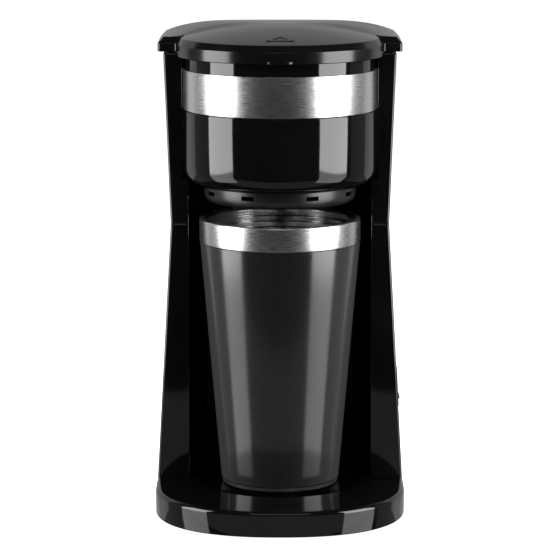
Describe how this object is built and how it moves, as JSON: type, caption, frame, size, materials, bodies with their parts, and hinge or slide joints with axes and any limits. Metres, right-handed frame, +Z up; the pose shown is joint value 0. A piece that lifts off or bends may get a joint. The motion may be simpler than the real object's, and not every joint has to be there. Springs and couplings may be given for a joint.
{
  "type": "drip coffee maker",
  "caption": "One-cup drip coffee maker: hinged crowned lid, round filter holder with steel band over an alcove, rear water tank, and a tapered lift-out travel mug.",
  "frame": {"origin": "centre of the bounding box at the height of the surface it stands on, which is also the mug's axis", "axes": "+Z up, front of the machine towards -Y, +X to the right seen from the front"},
  "size_m": [0.152, 0.174, 0.2987],
  "materials": {
    "gloss_black": "glossy moulded plastic",
    "inner_black": "satin moulded plastic",
    "mug_charcoal": "satin metallic charcoal paint",
    "brushed_steel": "brushed",
    "aluminium": "cast",
    "rubber": "matt",
    "silicone": "translucent",
    "ceramic": "matt",
    "filter_mesh": "woven nylon mesh in a frame",
    "wire_insulation": "sleeved"
  },
  "bodies": {
    "body": {"base_bottom_cover": "inner_black", "base_screw_left_front": "brushed_steel", "base_screw_left_rear": "brushed_steel", "base_screw_right_front": "brushed_steel", "base_screw_right_rear": "brushed_steel", "base_top": "gloss_black", "check_valve_body": "inner_black", "cold_water_hose": "silicone", "column_front": "gloss_black", "cord_gland": "rubber", "drip_collar": "gloss_black", "filter_basket": "inner_black", "filter_holder": "gloss_black", "foot_left_front": "rubber", "foot_left_rear": "rubber", "foot_right_front": "rubber", "foot_right_rear": "rubber", "heater_bracket": "brushed_steel", "heater_casting": "aluminium", "heater_screw_left": "brushed_steel", "heater_screw_right": "brushed_steel", "heater_tube": "aluminium", "holder_steel_band": "brushed_steel", "hot_water_hose": "silicone", "housing_screw_left": "brushed_steel", "housing_screw_right": "brushed_steel", "permanent_filter": "filter_mesh", "rear_cover": "gloss_black", "rear_screw_left_high": "brushed_steel", "rear_screw_left_low": "brushed_steel", "rear_screw_right_high": "brushed_steel", "rear_screw_right_low": "brushed_steel", "return_wire": "wire_insulation", "riser_seal": "rubber", "riser_tube": "inner_black", "spout_arm": "inner_black", "supply_wire": "wire_insulation", "switch_bezel": "inner_black", "switched_wire": "wire_insulation", "terminal_block": "ceramic", "thermal_fuse": "ceramic", "thermostat": "ceramic", "upper_housing": "gloss_black", "valve_seal": "rubber"},
    "lid": {"lid": "gloss_black", "lid_splash_plate": "inner_black", "hinge_pin_left": "brushed_steel", "hinge_pin_right": "brushed_steel"},
    "mug": {"mug_shell": "mug_charcoal", "mug_rim_band": "brushed_steel", "mug_liner": "brushed_steel", "mug_foot": "rubber"},
    "rocker": {"power_rocker": "inner_black"},
    "valve_ball": {"check_valve_ball": "brushed_steel"}
  },
  "joints": [
    {"name": "lid_hinge", "type": "hinge", "parent": "body", "child": "lid", "pos_m": [0, 0.0825, 0.285], "axis": [-1, 0, 0], "range_deg": [0, 100]},
    {"name": "mug_slide", "type": "slide", "parent": "body", "child": "mug", "axis": [0, -0.9988, 0.0499], "range_m": [0, 0.16]},
    {"name": "rocker_hinge", "type": "hinge", "parent": "body", "child": "rocker", "pos_m": [0.07055, 0.03, 0.06989], "axis": [0, 1, 0], "range_deg": [0, 14]},
    {"name": "valve_ball_slide", "type": "slide", "parent": "body", "child": "valve_ball", "axis": [0, 0, 1], "range_m": [0, 0.0045]}
  ]
}
